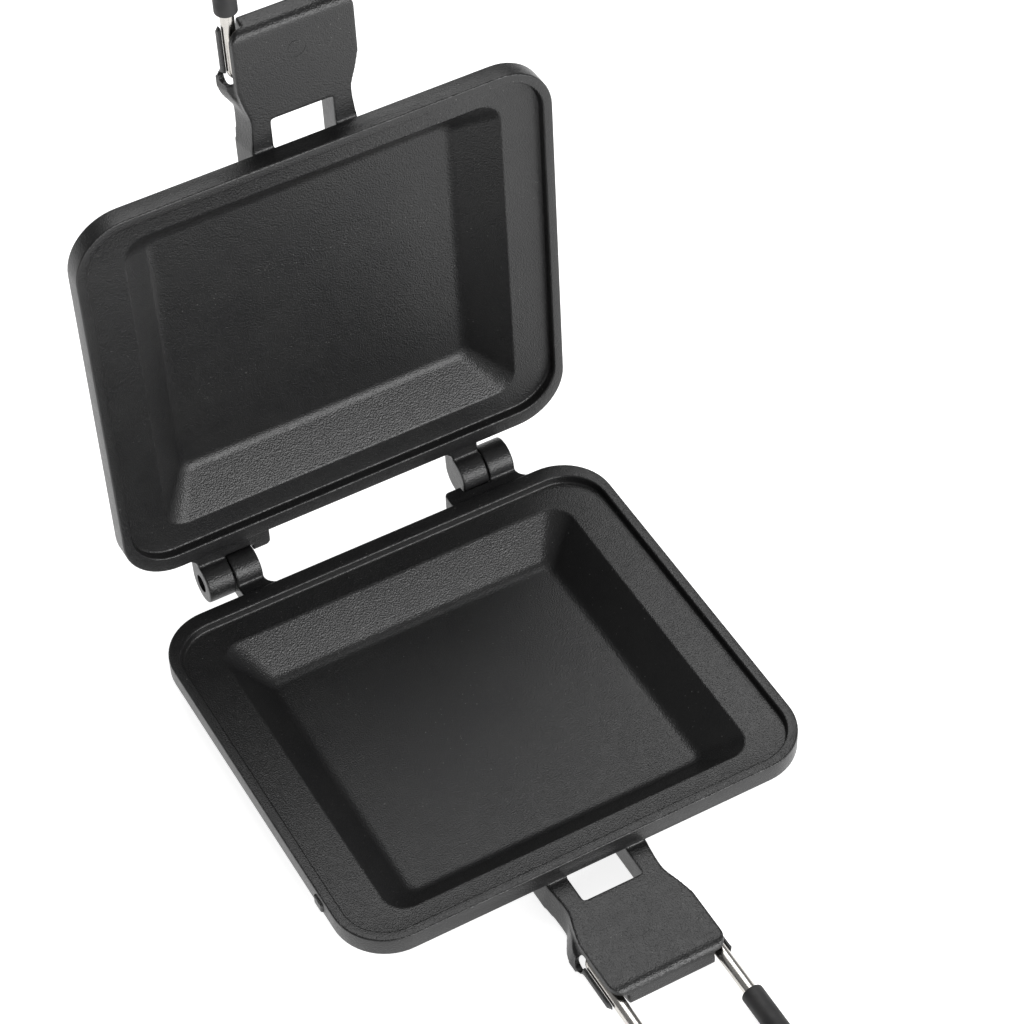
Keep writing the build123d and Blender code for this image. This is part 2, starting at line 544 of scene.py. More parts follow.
@dataclass
class PanShell:
    """The tray of one casting: flange, lip, rim, sloping bowl and underside."""

    sizes: CastingSizes = field(default_factory=CastingSizes)
    corner_steps: int = 14
    tightest_inside: float = 1.0
    tightest_outside: float = 1.5

    def profile(self) -> list[tuple[Point3, float, float]]:
        """The rings of the tray from the underside's middle round to the floor's middle.

        Returns:
            For each ring its insets from the outline (side, front, back), corner radius and level.
        """
        s = self.sizes
        grow = s.wall * math.sqrt(2)
        # A round between a flat and a 45 degree slope starts this share of its radius before their corner
        share = math.tan(math.radians(22.5))
        outline = (0.0, 0.0, 0.0)
        lip = (s.lip_width, s.lip_width, s.hinge_lip_width)
        mouth = (
            s.lip_width + s.rim_side,
            s.lip_width + s.rim_handle,
            s.hinge_lip_width + s.rim_hinge,
        )
        rings: list[tuple[Point3, float, float]] = []

        def add(
            base: Point3, radius_at: Callable[[float, float], float], points: Iterable[Point2]
        ) -> None:
            """Add rings at insets measured from a base rectangle."""
            for inset, level in points:
                rings.append((tuple(b + inset for b in base), radius_at(inset, level), level))

        def flange_radius(inset: float, level: float) -> float:
            """Corner radius of the flange, drawn in with its inset."""
            return s.corner_radius - inset

        def lip_radius(inset: float, level: float) -> float:
            """Corner radius inside the lip."""
            return s.corner_radius - s.lip_width - inset

        def bowl_radius(inset: float, level: float) -> float:
            """Corner radius inside the bowl, tighter towards the floor.

            Args:
                inset: the ring's distance from the bowl's mouth.
                level: the ring's level.

            Returns:
                The radius.
            """
            climb = (level - s.floor_level) / s.cavity_depth
            radius = s.floor_corner + (s.mouth_corner - s.floor_corner) * climb
            past_slope = inset - (s.rim_level - level)
            return max(self.tightest_inside, radius - max(0.0, past_slope))

        def outside_radius(inset: float, level: float) -> float:
            """Corner radius of the bowl's outside, tighter towards the underside.

            Args:
                inset: the ring's distance from the bowl's mouth.
                level: the ring's level.

            Returns:
                The radius.
            """
            climb = (level - s.underside) / (s.flange_bottom - s.underside)
            radius = s.floor_corner + (s.mouth_corner - s.floor_corner) * climb + grow
            past_slope = inset + grow - (s.rim_level - level)
            return max(self.tightest_outside, radius - past_slope)

        bottom = s.rim_level - s.underside - grow
        edge = s.underside_edge
        centre = (bottom + share * edge, s.underside + edge)
        add(mouth, outside_radius, Workshop.arc(centre, edge, 270, 225, 5))
        root = s.rim_level - s.flange_bottom - grow
        fillet = s.root_fillet
        centre = (root - share * fillet, s.flange_bottom - fillet)
        add(mouth, outside_radius, Workshop.arc(centre, fillet, 45, 90, 4))
        edge = s.outer_edge
        add(outline, flange_radius, Workshop.arc((edge, s.flange_bottom + edge), edge, 270, 180, 5))
        add(outline, flange_radius, Workshop.arc((edge, s.lip_top - edge), edge, 180, 90, 5))
        edge = s.lip_edge
        add(lip, lip_radius, Workshop.arc((-edge, s.lip_top - edge), edge, 90, 0, 4))
        foot = s.lip_foot
        add(lip, lip_radius, Workshop.arc((foot, s.rim_level + foot), foot, 180, 270, 4))
        edge = s.mouth_edge
        add(mouth, bowl_radius, Workshop.arc((-share * edge, s.rim_level - edge), edge, 90, 45, 4))
        fillet = s.floor_fillet
        centre = (s.cavity_depth + share * fillet, s.floor_level + fillet)
        add(mouth, bowl_radius, Workshop.arc(centre, fillet, 225, 270, 7))
        return rings

    def build(self) -> bpy.types.Object:
        """Skin the rings into one closed solid.

        Returns:
            The tray in the closed frame.
        """
        s = self.sizes
        loops = []
        for (side, front, back), radius, level in self.profile():
            outline = Workshop.rounded_rectangle(
                s.width / 2 - side, s.front + front, s.back - back, radius, self.corner_steps
            )
            loops.append([(x, y, level) for x, y in outline])
        return Workshop.loft(loops, "tray")


@dataclass
class HandleBracket:
    """The cast tongue on the front edge that carries the handle's ends."""

    sizes: CastingSizes = field(default_factory=CastingSizes)
    height: float = 9.0
    plate: float = 2.6
    # How far spine and plate reach back under the bowl
    root: float = 16.0
    root_slope: float = 11.8
    # Neck and plate seen from above, with places measured from the pan's edge
    neck_half: float = 15.3
    neck_end: float = 11.0
    neck_flare: float = 0.8
    neck_ease: float = 0.2
    neck_swell: float = 0.05
    shoulder_ease: float = 0.55
    draft: float = 1.3
    shoulder_half: float = 18.3
    shoulder_start: float = 22.0
    plate_end: float = 41.3
    plate_corner: float = 5.0
    # Window, pocket and the walls beside them
    window_half: float = 9.5
    window_length: float = 9.5
    spine_wall: float = 4.3
    pocket_start: float = 13.0
    pocket_end: float = 33.0
    # The nose, which slopes up from the spine to the plate's end
    nose_start: float = 34.5
    nose_height: float = 6.7
    nose_lean: float = 0.45
    nose_edge: float = 3.0
    # Each rail: half widths at crest and foot, levels below the plate, and where its sides turn
    rail_crest: float = 18.5
    rail_foot: float = 21.1
    rail_tip: float = 1.6
    rail_side_gap: float = 0.3
    rail_top: float = 4.8
    rail_height: float = 2.1
    rail_bulge: float = 19.3
    rail_widest: float = 1.0
    rail_hip: Point2 = (1.2, 2.6)
    rail_fall: Point2 = (2.5, 3.5)
    rail_heel: Point2 = (4.0, 7.5)
    rail_end: float = 41.2
    # The rise that stands into the flange, and the throat that opens the underside behind the window
    rise_setback: float = 0.12
    rise_short: float = 1.5
    rise_height: float = 1.2
    throat_lip: float = 5.0
    throat_top: float = 0.5
    # The wire's slots and bores, and how far it folds
    slot_outer: float = 18.6
    bore: float = 2.05
    fold_angle: float = 130.0
    # The round mark on the plate
    mark_place: float = 30.3
    mark_outer: float = 3.0
    mark_inner: float = 2.3
    mark_depth: float = 0.07
    # How finely the edges are softened
    voxel: float = 0.42
    smoothing: int = 5

    @property
    def bottom(self) -> float:
        """Level of the spine's underside."""
        return self.sizes.flange_bottom - self.height

    @property
    def plate_bottom(self) -> float:
        """Level of the plate's underside."""
        return self.sizes.flange_bottom - self.plate

    @property
    def spine_half(self) -> float:
        """Half width of the spine between the wire's legs."""
        return self.window_half + self.spine_wall

    def outline(self, grow: float) -> list[Point2]:
        """Plan of the plate with its neck grown sideways.

        Args:
            grow: how much wider the neck is.

        Returns:
            The plan, counter-clockwise.
        """
        front = self.sizes.front
        neck, shoulder = self.neck_half + grow, self.shoulder_half
        end = front - self.plate_end - self.nose_lean
        middle = (self.neck_end + self.shoulder_start) / 2
        flank = Workshop.through(
            [
                (neck + self.neck_flare, front),
                (neck + self.neck_flare * self.neck_ease, front - self.neck_end / 2),
                (neck + self.neck_swell, front - self.neck_end),
                (neck + (shoulder - neck) * self.shoulder_ease, front - middle),
                (shoulder, front - self.shoulder_start),
            ]
        )
        corner = (shoulder - self.plate_corner, end + self.plate_corner)
        right = [(neck + self.neck_flare, front + self.root + PAST)] + flank
        right += Workshop.arc(corner, self.plate_corner, 0, -90, 8)
        return right + [(-x, y) for x, y in reversed(right)]

    def side_profile(self) -> list[Point2]:
        """Side view of plate and spine, from the bowl's wall to the sloping nose.

        Returns:
            The (y, z) points.
        """
        front, top = self.sizes.front, self.sizes.flange_bottom
        tip, edge = front - self.plate_end, self.nose_edge
        return [
            (front + self.root_slope, top),
            (front + self.root, top + self.root_slope - self.root),
            (front + self.root, self.bottom),
            (front - self.nose_start, self.bottom),
            (tip - self.nose_lean, top - self.nose_height),
            *Workshop.arc((tip + edge, top - edge), edge, 180, 90, 6),
        ]

    def swing_space(self) -> bpy.types.Object:
        """The room on the right that a wire leg sweeps while the handle folds.

        Returns:
            A solid of that room, to cut away.
        """
        drop, pivot_y = self.sizes.wire_drop, self.sizes.pivot_y
        reach = self.slot_outer - self.sizes.wire_spread
        turn = math.radians(self.fold_angle)
        depth = self.height + drop
        far = self.sizes.front - self.plate_end - self.sizes.wall
        stop = (pivot_y + reach * math.sin(turn), -reach * math.cos(turn) - drop)
        end = (stop[0] - depth * math.cos(turn), stop[1] - depth * math.sin(turn))
        profile = [
            (far, self.plate_bottom),
            (pivot_y, self.plate_bottom),
            (pivot_y + reach, stop[1]),
            stop,
            end,
            (far, end[1]),
        ]
        return Workshop.side_prism(profile, self.spine_half, self.slot_outer)

    def rail(self) -> bpy.types.Object:
        """The arm outside the right leg, growing out of the neck's side at the wire's height.

        Returns:
            The right rail. Its plan narrows from foot to crest, and its side view falls from the plate.
        """
        front = self.sizes.front
        start = front - self.neck_end + PAST
        tip = front - self.rail_end
        bulge = front - self.rail_bulge
        plans = []
        for outer in (self.rail_foot, self.rail_crest):
            hip = (outer - self.rail_hip[0], bulge + self.rail_hip[1])
            curve = Workshop.through([(self.neck_half, start), hip, (outer, bulge - self.rail_widest)], 5)
            plan = [(self.spine_half, start), *curve]
            plan += [(outer, tip + self.rail_tip), (self.slot_outer + self.rail_side_gap, tip)]
            plans.append(plan + [(self.slot_outer, tip), (self.spine_half, tip)])
        top = self.sizes.flange_bottom - self.rail_top
        side = [
            (start, self.bottom),
            (start, self.plate_bottom),
            (bulge + self.rail_fall[0], self.plate_bottom),
            (bulge - self.rail_fall[1], top),
            (tip, top),
            (tip, top - self.rail_height),
            (bulge - self.rail_heel[1], top - self.rail_height),
            (bulge - self.rail_heel[0], self.bottom),
        ]
        strip = Workshop.prism(plans[0], self.bottom - PAST, self.plate_bottom + PAST, plans[1])
        return Workshop.combine(strip, Workshop.side_prism(side, 0, 2 * self.rail_foot), Merge.COMMON)

    def build(self) -> bpy.types.Object:
        """Join plate, spine and rails, cut what is open, and soften the edges.

        Returns:
            The bracket in the closed frame.
        """
        front, top = self.sizes.front, self.sizes.flange_bottom
        body = Workshop.prism(self.outline(self.draft), self.bottom, top, self.outline(0))
        side = Workshop.side_prism(self.side_profile(), -2 * self.shoulder_half, 2 * self.shoulder_half)
        body = Workshop.combine(body, side, Merge.COMMON)
        rail = self.rail()
        for strip in (rail, Workshop.mirrored(rail)):
            body = Workshop.combine(body, strip, Merge.ADD)
        room = self.swing_space()
        for space in (room, Workshop.mirrored(room)):
            body = Workshop.combine(body, space, Merge.CUT)
        half = self.neck_half + self.neck_flare
        rise = Workshop.rounded_box(
            (-half, half),
            (front + self.rise_setback, front + self.root_slope - self.rise_short),
            (top - PAST, top + self.rise_height),
        )
        body = Workshop.combine(body, rise, Merge.ADD)
        below, above = self.bottom - 2 * PAST, top + self.rise_height + 2 * PAST
        # Each opening's places along the handle, and how high it reaches
        openings = (
            (front - self.window_length, front, above),
            (front - self.throat_lip, front + self.root + 2 * PAST, top + self.throat_top),
            (front - self.pocket_end, front - self.pocket_start, self.plate_bottom),
        )
        for start, end, level in openings:
            space = Workshop.rounded_box((-self.window_half, self.window_half), (start, end), (below, level))
            body = Workshop.combine(body, space, Merge.CUT)
        body = Workshop.soften(body, self.voxel, self.smoothing)
        reach = 2 * self.slot_outer
        bore = Workshop.rod(self.sizes.pivot_y, -self.sizes.wire_drop, self.bore, -reach, reach)
        return Workshop.combine(body, bore, Merge.CUT)

    def mark(self) -> bpy.types.Object:
        """The shallow round groove that the mould's ejector leaves on the plate.

        Returns:
            The groove's ring, to cut away.
        """
        top = self.sizes.flange_bottom
        place = self.sizes.front - self.mark_place
        rings = []
        for radius, level in (
            (self.mark_outer, top + PAST),
            (self.mark_outer, top - self.mark_depth),
            (self.mark_inner, top - self.mark_depth),
            (self.mark_inner, top + PAST),
        ):
            rings.append([(x, y, level) for x, y in Workshop.circle((0, place), radius)])
        return Workshop.loft(rings, "mark", capped=False)


@dataclass
class HingeSide:
    """The hinge eyes, their arms and the ear on the back edge."""

    sizes: CastingSizes = field(default_factory=CastingSizes)
    radius: float = 6.3
    length: float = 8.7
    middle: float = 43.25
    gap: float = 0.3
    relief: float = 0.4
    pin_bore: float = 2.25
    blind_wall: float = 2.0
    arm_fillet: float = 4.0
    arm_foot: float = 1.5
    inset: float = 0.1
    ear_depth: float = 6.0
    ear_drop: float = 0.3
    ear_overrun: float = 6.3
    ear_corner: float = 1.6
    mouth_radius: float = 2.85
    mouth_depth: float = 1.4
    root: float = 3.0
    sides: int = 72
    bore_sides: int = 64
    voxel: float = 0.3
    smoothing: int = 10

    @property
    def outer(self) -> Point2:
        """Ends of the outer eye."""
        return self.middle + self.gap / 2, self.middle + self.gap / 2 + self.length

    @property
    def inner(self) -> Point2:
        """Ends of the inner eye on the other casting's side."""
        return self.middle - self.gap / 2 - self.length, self.middle - self.gap / 2

    def eye(self, near: float, far: float) -> list[bpy.types.Object]:
        """An eye, its arm and the corner that spreads the arm onto the flange.

        Args:
            near: the eye's end nearer the middle.
            far: its other end.

        Returns:
            The three overlapping solids.
        """
        s = self.sizes
        top = s.lip_top - self.relief
        arm = [
            (s.back - self.root, top),
            (s.hinge_y, top),
            (s.hinge_y, -self.radius),
            (s.back, s.flange_bottom),
            (s.back - self.root, s.flange_bottom + self.arm_foot),
        ]
        spread = far + self.arm_fillet
        corner = [(far - PAST, s.back - PAST), (spread, s.back - PAST), (spread, s.back)]
        corner += Workshop.arc((spread, s.back + self.arm_fillet), self.arm_fillet, 270, 180, 8)
        corner += [(far - PAST, s.back + self.arm_fillet)]
        return [
            Workshop.side_prism(arm, near, far),
            Workshop.rod(s.hinge_y, 0, self.radius, near, far, self.sides),
            Workshop.prism(corner, s.flange_bottom + self.inset, top - self.inset),
        ]

    def ear(self) -> bpy.types.Object:
        """The low ledge beside the other casting's eye, hollowed to let it turn.

        Returns:
            The ledge as one solid.
        """
        s = self.sizes
        across = (self.inner[0] - self.ear_overrun, self.outer[0] + self.root)
        along = (s.back - self.root, s.back + self.ear_depth)
        levels = (s.flange_bottom + self.inset, s.lip_top - self.ear_drop)
        ledge = Workshop.rounded_box(across, along, levels, self.ear_corner)
        room = self.radius + self.relief
        hollow = Workshop.rod(s.hinge_y, 0, room, self.inner[0] - self.relief, self.outer[0], self.sides)
        return Workshop.combine(ledge, hollow, Merge.CUT)

    def build(self) -> list[bpy.types.Object]:
        """Build both sides of the hinge with their bores.

        Returns:
            The right and the left group, each a closed solid.
        """
        hinge_y = self.sizes.hinge_y
        right = Workshop.join(self.eye(*self.outer) + [self.ear()])
        left = Workshop.join(self.eye(-self.inner[1], -self.inner[0]))
        through = (self.outer[0] - PAST, self.outer[1] + PAST)
        blind = (-self.inner[1] - PAST, -self.inner[0] - self.blind_wall)
        groups = []
        for piece, (near, far) in zip((right, left), (through, blind)):
            piece = Workshop.soften(piece, self.voxel, self.smoothing)
            bore = Workshop.rod(hinge_y, 0, self.pin_bore, near, far, self.bore_sides)
            groups.append(Workshop.combine(piece, bore, Merge.CUT))
        mouth = (self.outer[1] - self.mouth_depth, self.outer[1] + PAST)
        countersink = Workshop.rod(hinge_y, 0, self.mouth_radius, *mouth, self.bore_sides)
        groups[0] = Workshop.combine(groups[0], countersink, Merge.CUT)
        return groups


@dataclass
class Casting:
    """One half of the pan: tray, bracket and hinge eyes as one coated casting."""

    half: Half
    sizes: CastingSizes = field(default_factory=CastingSizes)
    gate_length: float = 5.0
    gate_stand: float = 0.7
    gate_height: float = 3.2
    gate_level: float = 0.9
    gate_place: float = 42.5
    gate_voxel: float = 0.25
    gate_smoothing: int = 4
    sharp_angle: float = 38.0

    def gate(self) -> bpy.types.Object:
        """The small stub that the casting gate leaves on the left edge.

        Returns:
            The stub, reaching into the flange.
        """
        edge = -self.sizes.width / 2
        low = self.sizes.flange_bottom + self.gate_level
        stub = Workshop.rounded_box(
            (edge - self.gate_stand, edge + 2 * PAST),
            (-self.gate_place - self.gate_length / 2, -self.gate_place + self.gate_length / 2),
            (low, low + self.gate_height),
        )
        return Workshop.soften(stub, self.gate_voxel, self.gate_smoothing)

    def build(self) -> bpy.types.Object:
        """Build the casting and stand it in the part's frame.

        Returns:
            The finished mesh, without its finish.
        """
        bracket = HandleBracket(self.sizes)
        body = PanShell(self.sizes).build()
        for piece in [bracket.build(), self.gate(), *HingeSide(self.sizes).build()]:
            body = Workshop.combine(body, piece, Merge.ADD)
        body = Workshop.combine(body, bracket.mark(), Merge.CUT)
        body.name = f"{self.half.value}_casting"
        return Workshop.finished(body, self.sizes.seat(self.half), self.sharp_angle)

    def assemble(self, finishes: Finishes) -> list[bpy.types.Object]:
        """Build and coat the casting.

        Args:
            finishes: the shared materials.

        Returns:
            The dressed casting.
        """
        node = f"{self.half.value}_pan"
        casting = self.build()
        return [Workshop.dress(casting, finishes.coating, self.half.casting_body, Slot.CASTING, node)]


@dataclass
class HandleWire:
    """A bent wire handle with its two sleeves."""

    half: Half
    sizes: CastingSizes = field(default_factory=CastingSizes)
    bend: float = 2.4
    reach: float = 217.3
    tip: float = 8.0
    last_span: float = 0.2
    leg_spans: int = 24
    lower_sleeve_start: float = 55.8
    upper_sleeve_start: float = 45.5
    sleeve_wall: float = 1.25
    sleeve_gap: float = 0.04
    sleeve_edge: float = 0.45
    sleeve_end_margin: float = 3.0
    sleeve_spans: int = 12
    around: int = 40
    wire_sharp_angle: float = 50.0
    sleeve_sharp_angle: float = 40.0

    @property
    def leg_end(self) -> float:
        """Place where the straight legs meet the loop."""
        return self.sizes.front - self.reach + self.sizes.wire_radius + self.sizes.wire_spread

    @property
    def sleeve_start(self) -> float:
        """Distance of the sleeves from the pan's front edge."""
        return self.lower_sleeve_start if self.half is Half.LOWER else self.upper_sleeve_start

    def path(self) -> list[Point3]:
        """The wire's centre line from one turned-in end to the other.

        Returns:
            The points in the closed frame.
        """
        spread, pivot = self.sizes.wire_spread, self.sizes.pivot_y
        corner = spread - self.bend
        leg_start = pivot - self.bend
        run = (self.leg_end - leg_start) / self.leg_spans
        right = [(self.tip, pivot), (corner + (self.tip - corner) * self.last_span, pivot)]
        right += Workshop.arc((corner, leg_start), self.bend, 90, 0, 12)
        leg = [(spread, leg_start + run * i) for i in range(1, self.leg_spans)]
        loop = Workshop.arc((0, self.leg_end), spread, 0, -180, 48)
        line = right + leg + loop + [(-x, y) for x, y in reversed(right + leg)]
        return [(x, y, -self.sizes.wire_drop) for x, y in line]

    def build_wire(self, finish: bpy.types.Material) -> bpy.types.Object:
        """Sweep the wire along its path and stand it in the part's frame.

        Args:
            finish: the wire's material.

        Returns:
            The finished wire.
        """
        tube = TubeTree(self.sizes.wire_radius, self.around, finish)
        wire = tube.along(self.path(), f"{self.half.value}_handle_wire")
        return Workshop.finished(wire, self.sizes.seat(self.half), self.wire_sharp_angle)

    def build_sleeve(self, side: int, name: str) -> bpy.types.Object:
        """Turn one sleeve with rounded ends and slide it on its leg.

        Args:
            side: 1 for the leg at +x of the closed frame, -1 for the other.
            name: name of the piece.

        Returns:
            The finished sleeve.
        """
        radius, spread = self.sizes.wire_radius, self.sizes.wire_spread
        bore = radius + self.sleeve_gap
        outer, edge = bore + self.sleeve_wall, self.sleeve_edge
        near = self.sleeve_start
        far = self.reach - radius - spread - self.sleeve_end_margin
        section = [(bore, near + edge / 2), (bore + edge / 2, near)]
        section += Workshop.arc((outer - edge, near + edge), edge, -90, 0, 5)
        run = (far - near) / self.sleeve_spans
        section += [(outer, near + run * i) for i in range(1, self.sleeve_spans)]
        section += Workshop.arc((outer - edge, far - edge), edge, 0, 90, 5)
        section += [(bore + edge / 2, far), (bore, far - edge / 2)]
        rings = []
        for radius, along in section:
            circle = Workshop.circle((side * spread, -self.sizes.wire_drop), radius)
            rings.append([(x, self.sizes.front - along, z) for x, z in circle])
        sleeve = Workshop.loft(rings, name, capped=False)
        return Workshop.finished(sleeve, self.sizes.seat(self.half), self.sleeve_sharp_angle)

    def assemble(self, finishes: Finishes) -> list[bpy.types.Object]:
        """Build and dress the wire and its two sleeves.

        Args:
            finishes: the shared materials.

        Returns:
            The wire, the left sleeve and the right sleeve.
        """
        half, body = self.half.value, self.half.handle_body
        wire = self.build_wire(finishes.wire)
        pieces = [Workshop.dress(wire, finishes.wire, body, Slot.WIRE, f"{half}_handle_wire")]
        turned_over = -1 if self.half is Half.UPPER else 1
        for side, word in ((-1, "left"), (1, "right")):
            sleeve = self.build_sleeve(turned_over * side, f"{half}_{word}_sleeve")
            pieces.append(Workshop.dress(sleeve, finishes.sleeve, body, Slot.SLEEVE, f"{half}_{word}_grip"))
        return pieces


@dataclass
class HingePin:
    """A plain steel pin with broken ends, through one pair of hinge eyes."""

    half: Half
    sizes: CastingSizes = field(default_factory=CastingSizes)
    clearance: float = 0.05
    recess: float = 1.0
    edge: float = 0.35
    sharp_angle: float = 40.0

    def build(self, name: str) -> bpy.types.Object:
        """Turn the pin and stand it in the part's frame.

        Args:
            name: name of the piece.

        Returns:
            The finished pin.
        """
        eyes = HingeSide(self.sizes)
        near = eyes.inner[0] + eyes.blind_wall + self.clearance
        far = eyes.outer[1] - self.recess
        flat = eyes.pin_bore - self.clearance - self.edge
        steps = Workshop.arc((near + self.edge, flat), self.edge, 180, 90, 4)
        steps += Workshop.arc((far - self.edge, flat), self.edge, 90, 0, 4)
        rings = []
        for place, radius in steps:
            circle = Workshop.circle((self.sizes.hinge_y, 0), radius)
            rings.append([(place, y, z) for y, z in circle])
        pin = Workshop.loft(rings, name)
        return Workshop.finished(pin, self.sizes.seat(self.half), self.sharp_angle)

    def assemble(self, finishes: Finishes) -> list[bpy.types.Object]:
        """Build and dress the pin.

        Args:
            finishes: the shared materials.

        Returns:
            The dressed pin.
        """
        side = "right" if self.half is Half.LOWER else "left"
        pin = self.build(f"{self.half.value}_pin")
        return [Workshop.dress(pin, finishes.pin, self.half.casting_body, Slot.PIN, f"{side}_hinge_pin")]


@dataclass(frozen=True)
class TubeTree:
    """A node tree that skins a round tube along a path, for one bent wire."""

    radius: float
    around: int
    finish: bpy.types.Material

    def nodes(self) -> bpy.types.GeometryNodeTree:
        """Make the tree with its named inputs.

        Returns:
            The tree: path mesh in, closed tube out.
        """
        tree = bpy.data.node_groups.new("wire tube", "GeometryNodeTree")
        sockets = tree.interface
        sockets.new_socket("Path", in_out="INPUT", socket_type="NodeSocketGeometry")
        sockets.new_socket("Wire Radius", in_out="INPUT", socket_type="NodeSocketFloat")
        sockets.new_socket("Points Around", in_out="INPUT", socket_type="NodeSocketInt")
        sockets.new_socket("Wire Finish", in_out="INPUT", socket_type="NodeSocketMaterial")
        sockets.new_socket("Tube", in_out="OUTPUT", socket_type="NodeSocketGeometry")
        made = {
            name: tree.nodes.new(kind)
            for name, kind in {
                "given": "NodeGroupInput",
                "curve": "GeometryNodeMeshToCurve",
                "round": "GeometryNodeCurvePrimitiveCircle",
                "skin": "GeometryNodeCurveToMesh",
                "real": "GeometryNodeRealizeInstances",
                "dress": "GeometryNodeSetMaterial",
                "result": "NodeGroupOutput",
            }.items()
        }
        made["skin"].inputs["Fill Caps"].default_value = True
        wires = (
            ("given", "Path", "curve", "Mesh"),
            ("curve", "Curve", "skin", "Curve"),
            ("given", "Wire Radius", "round", "Radius"),
            ("given", "Points Around", "round", "Resolution"),
            ("round", "Curve", "skin", "Profile Curve"),
            ("skin", "Mesh", "real", "Geometry"),
            ("real", "Geometry", "dress", "Geometry"),
            ("given", "Wire Finish", "dress", "Material"),
            ("dress", "Geometry", "result", "Tube"),
        )
        for source, output, target, entry in wires:
            tree.links.new(made[source].outputs[output], made[target].inputs[entry])
        return tree

    def along(self, path: Sequence[Point3], name: str) -> bpy.types.Object:
        """Run the tree on a path.

        Args:
            path: the wire's centre line.
            name: name of the piece.

        Returns:
            The wire as a plain mesh.
        """
        line = bpy.data.meshes.new(name)
        line.from_pydata(path, [(i, i + 1) for i in range(len(path) - 1)], [])
        piece = Workshop.link(line, name)
        step = piece.modifiers.new("tube", "NODES")
        step.node_group = self.nodes()
        given = {"Wire Radius": self.radius, "Points Around": self.around, "Wire Finish": self.finish}
        for socket in step.node_group.interface.items_tree:
            if socket.in_out == "INPUT" and socket.name in given:
                step[socket.identifier] = given[socket.name]
        return Workshop.settle(piece)


class Graph:
    """Short calls for wiring a material's nodes."""

    def __init__(self, name: str) -> None:
        """Start an empty material.

        Args:
            name: the material's name.
        """
        self.material = bpy.data.materials.new(name)
        self.material.use_nodes = True
        self.tree = self.material.node_tree
        self.tree.nodes.clear()
        self.output = self.tree.nodes.new("ShaderNodeOutputMaterial")

    def node(
        self, kind: str, inputs: dict[str | int, object] | None = None, **settings: object
    ) -> bpy.types.Node:
        """Add a node.

        Args:
            kind: its type, without the ShaderNode prefix.
            inputs: values or sockets for its inputs, by name or number.
            settings: its other properties.

        Returns:
            The node.
        """
        made = self.tree.nodes.new("ShaderNode" + kind)
        for key, value in settings.items():
            setattr(made, key, value)
        for key, value in (inputs or {}).items():
            socket = made.inputs[key]
            if isinstance(value, bpy.types.NodeSocket):
                self.tree.links.new(value, socket)
            else:
                socket.default_value = value
        return made

    def place(self) -> bpy.types.NodeSocket:
        """The point on the object, in its own coordinates."""
        return self.node("TexCoord").outputs["Object"]

    def noise(self, scale: float, detail: float = 2.0, roughness: float = 0.5) -> bpy.types.NodeSocket:
        """A noise with so many waves to a metre."""
        inputs = {"Vector": self.place(), "Scale": scale, "Detail": detail, "Roughness": roughness}
        return self.node("TexNoise", inputs).outputs["Fac"]

    def cells(self, scale: float, output: str) -> bpy.types.NodeSocket:
        """A pattern with so many cells to a metre: each point's Distance, or its cell's Color."""
        return self.node("TexVoronoi", {"Vector": self.place(), "Scale": scale}).outputs[output]

    def math(self, operation: str, first: object, second: object) -> bpy.types.NodeSocket:
        """Arithmetic on two values."""
        return self.node("Math", {0: first, 1: second}, operation=operation).outputs[0]

    def spread(
        self, value: object, low: float, high: float, start: float, end: float
    ) -> bpy.types.NodeSocket:
        """Map a value from one range onto another."""
        inputs = {"Value": value, "From Min": low, "From Max": high, "To Min": start, "To Max": end}
        return self.node("MapRange", inputs).outputs["Result"]

    def mix(self, share: object, first: object, second: object) -> bpy.types.NodeSocket:
        """Mix two colours.

        Args:
            share: how much of the second, from 0 to 1.
            first: the first colour.
            second: the second colour.

        Returns:
            The mixed colour.
        """
        made = self.node("Mix", data_type="RGBA")
        for index, value in ((0, share), (6, first), (7, second)):
            if isinstance(value, bpy.types.NodeSocket):
                self.tree.links.new(value, made.inputs[index])
            else:
                made.inputs[index].default_value = value
        return made.outputs[2]

    def bump(
        self, height: object, depth: float, strength: float, normal: bpy.types.NodeSocket | None = None
    ) -> bpy.types.NodeSocket:
        """Raise the surface by a height.

        Args:
            height: the height, from 0 to 1.
            depth: what a height of 1 is in metres.
            strength: how much of it shows.
            normal: a bump that this one is added to.

        Returns:
            The bumped normal.
        """
        inputs = {"Height": height, "Distance": depth, "Strength": strength}
        if normal is not None:
            inputs["Normal"] = normal
        return self.node("Bump", inputs).outputs["Normal"]

    def surface(self, inputs: dict[str, object]) -> bpy.types.Material:
        """Finish the material with one principled shader.

        Args:
            inputs: values or sockets for the shader's inputs.

        Returns:
            The material.
        """
        shader = self.node("BsdfPrincipled", inputs)
        self.tree.links.new(shader.outputs[0], self.output.inputs["Surface"])
        return self.material


